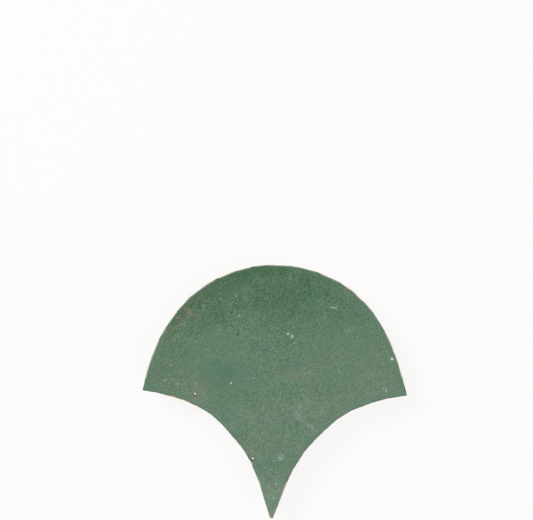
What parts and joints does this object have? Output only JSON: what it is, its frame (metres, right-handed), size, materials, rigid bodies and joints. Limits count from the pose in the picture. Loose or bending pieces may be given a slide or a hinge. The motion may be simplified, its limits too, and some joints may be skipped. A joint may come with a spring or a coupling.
{
  "type": "fish scale tile",
  "caption": "Flat fish scale tile of glazed earthenware with a rounded head, hollow flanks and a pointed tail, cut by hand with undercut edges, for covering walls.",
  "frame": {"origin": "on the flat bare back, under the centre of the head's arc, midway between the side corners", "axes": "+X across the tile from corner to corner, +Y from the pointed tail to the rounded head, +Z out of the glazed face"},
  "size_m": [0.1, 0.096, 0.011],
  "materials": {
    "glaze": "satin sage green glaze on the face, bare chiselled terracotta at the sides and back"
  },
  "bodies": {
    "root": {"tile": "glaze"}
  },
  "joints": []
}
